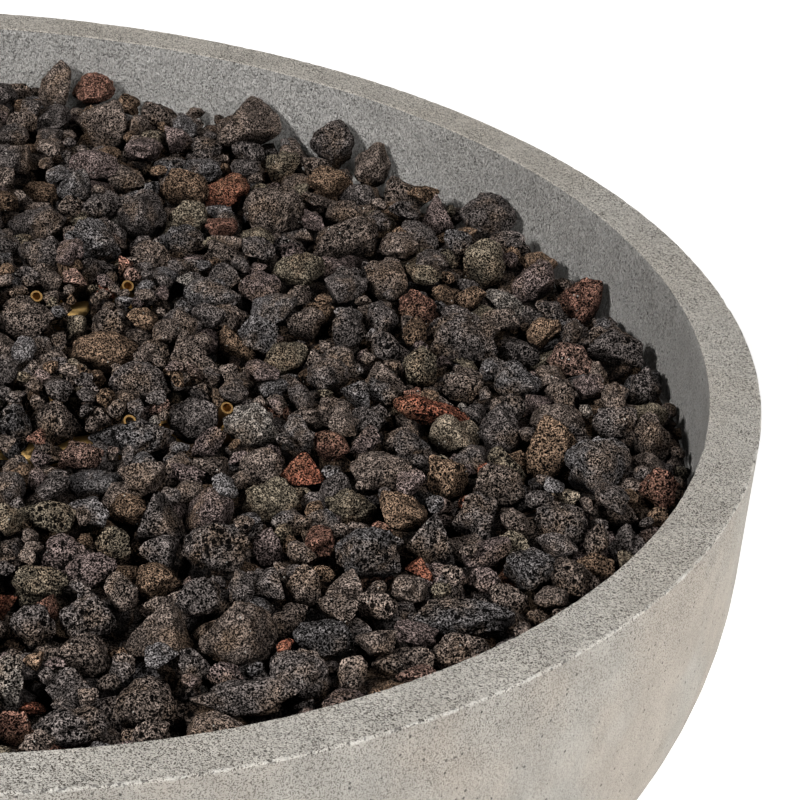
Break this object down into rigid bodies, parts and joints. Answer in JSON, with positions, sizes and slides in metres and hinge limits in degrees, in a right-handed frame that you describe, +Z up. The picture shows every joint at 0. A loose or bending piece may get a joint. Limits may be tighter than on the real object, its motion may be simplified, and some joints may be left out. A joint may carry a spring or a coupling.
{
  "type": "fire pit table",
  "caption": "Round cast concrete fire bowl with a flat rim, a lava rock fill over a brass jet gas burner in a steel pan, and a key valve in its back wall.",
  "frame": {"origin": "on the floor under the centre of the bowl, level with the underside of the foot pads", "axes": "+Z up along the bowl's axis, +Y towards the back, where the key valve is, +X to the right seen from the front"},
  "size_m": [1.2188, 1.219, 0.432],
  "materials": {
    "cast_concrete": "matt, fine sand-like pitting, mottled",
    "lava_rock": "matt, porous, some stones rusty red or brown",
    "brass": "machined",
    "pan_steel": "rolled sheet",
    "stem_steel": "turned",
    "chromed_metal": "polished",
    "pad_rubber": "matt",
    "hose_coating": "smooth coating",
    "seat_plastic": "waxy"
  },
  "bodies": {
    "fire_bowl": {"bowl_shell": "cast_concrete", "foot_pads": "pad_rubber", "burner_pan": "pan_steel", "lava_rock_bed": "lava_rock", "lava_rock_stones": "lava_rock", "burner_hub": "brass", "crossbar_nipples": "brass", "bar_tees": "brass", "bar_pipes": "brass", "bar_end_caps": "brass", "front_bar_jets": "brass", "rear_bar_jets": "brass", "burner_riser": "brass", "riser_locknuts": "brass", "riser_adapter": "brass", "hose_nuts": "brass", "gas_hose": "hose_coating", "outlet_adapter": "brass", "inlet_adapter": "brass", "valve_body": "brass", "valve_end_piece": "brass", "valve_seats": "seat_plastic", "valve_packing_nut": "brass", "valve_sleeve": "brass", "valve_locknut": "brass", "valve_escutcheon": "chromed_metal"},
    "valve_spindle": {"valve_stem": "stem_steel", "valve_ball": "chromed_metal"},
    "valve_key": {"key_shaft": "chromed_metal", "key_handle": "chromed_metal"}
  },
  "joints": [
    {"name": "valve_turn", "type": "hinge", "parent": "fire_bowl", "child": "valve_spindle", "pos_m": [0, 0.47, 0.24], "axis": [0, 1, 0], "range_deg": [0, 90]},
    {"name": "key_slide", "type": "slide", "parent": "valve_spindle", "child": "valve_key", "axis": [0, 1, 0], "range_m": [0, 0.09]}
  ]
}
